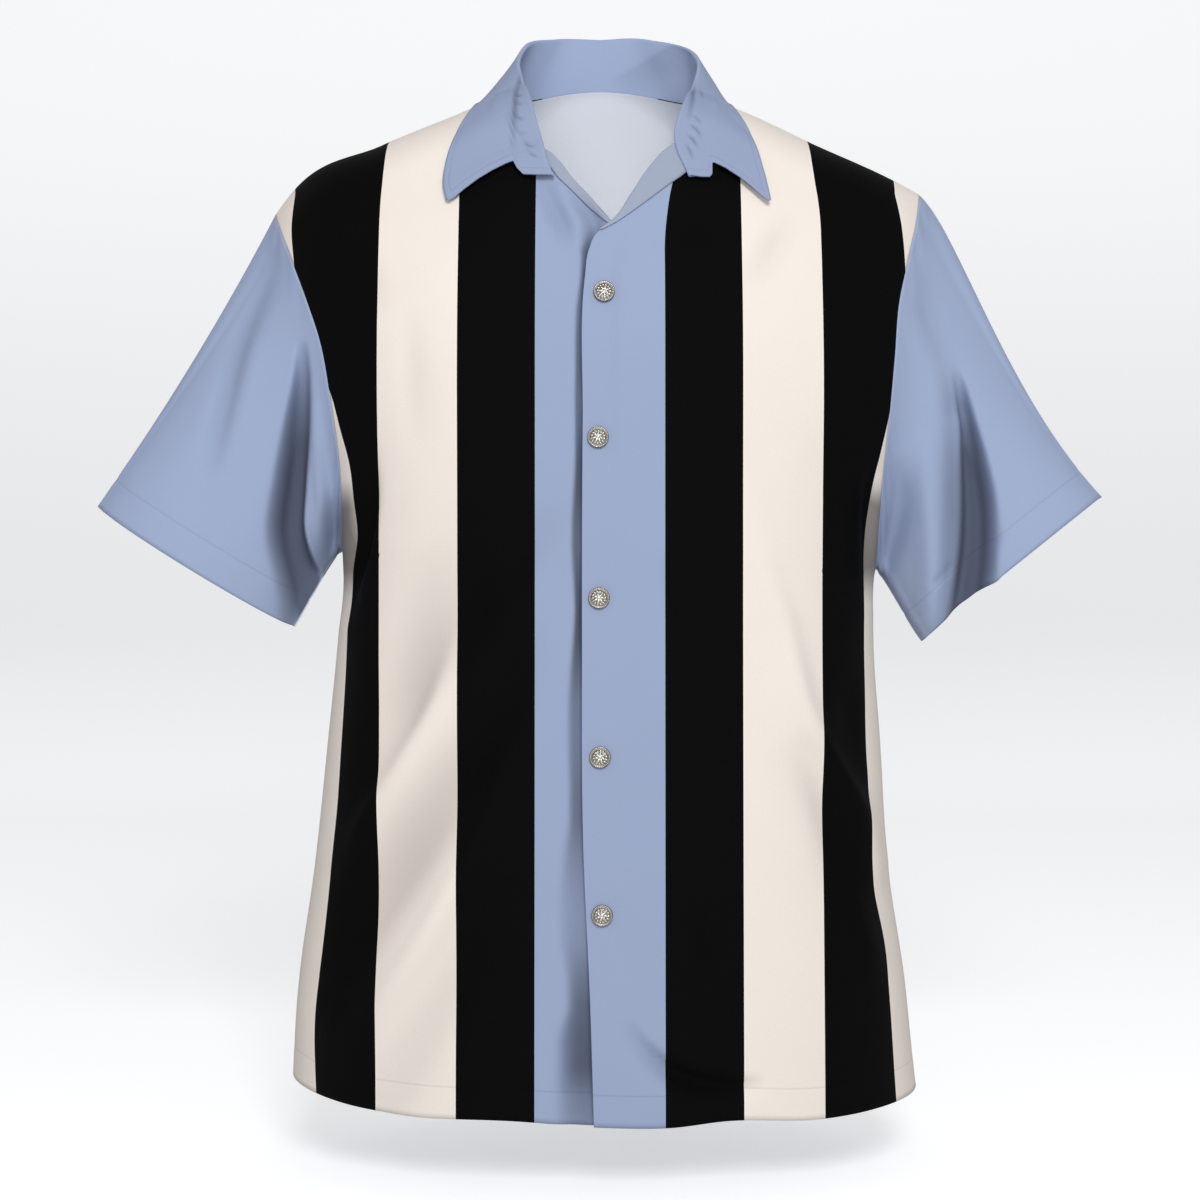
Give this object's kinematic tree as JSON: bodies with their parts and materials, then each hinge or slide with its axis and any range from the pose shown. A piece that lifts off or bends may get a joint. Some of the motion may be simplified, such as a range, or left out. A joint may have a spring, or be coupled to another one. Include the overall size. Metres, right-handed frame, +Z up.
{
  "type": "short sleeved bowling shirt",
  "caption": "Men's short sleeved bowling shirt with a camp collar, wide vertical stripes and embossed metal buttons, standing filled out with no wearer.",
  "frame": {"origin": "midway between the two neck points, where the shoulder seams meet the collar seam and the shirt hangs from its wearer", "axes": "+Z up along the body, +X to the wearer's left, the front looks along -Y"},
  "size_m": [0.7508, 0.2664, 0.805],
  "materials": {
    "blue_cloth": "matt plain woven cloth, blue grey",
    "striped_cloth": "matt plain woven cloth in wide vertical stripes of cream, black and blue grey",
    "pale_cloth": "matt paler wrong side of the cloth",
    "button_metal": "antique silver, embossed"
  },
  "bodies": {
    "root": {"front_right": "striped_cloth", "front_left": "striped_cloth", "back": "striped_cloth", "sleeve_right": "blue_cloth", "sleeve_left": "blue_cloth", "collar": "blue_cloth", "facing_right": "pale_cloth", "facing_left": "pale_cloth", "button_1": "button_metal", "button_2": "button_metal", "button_3": "button_metal", "button_4": "button_metal", "button_5": "button_metal"}
  },
  "joints": []
}
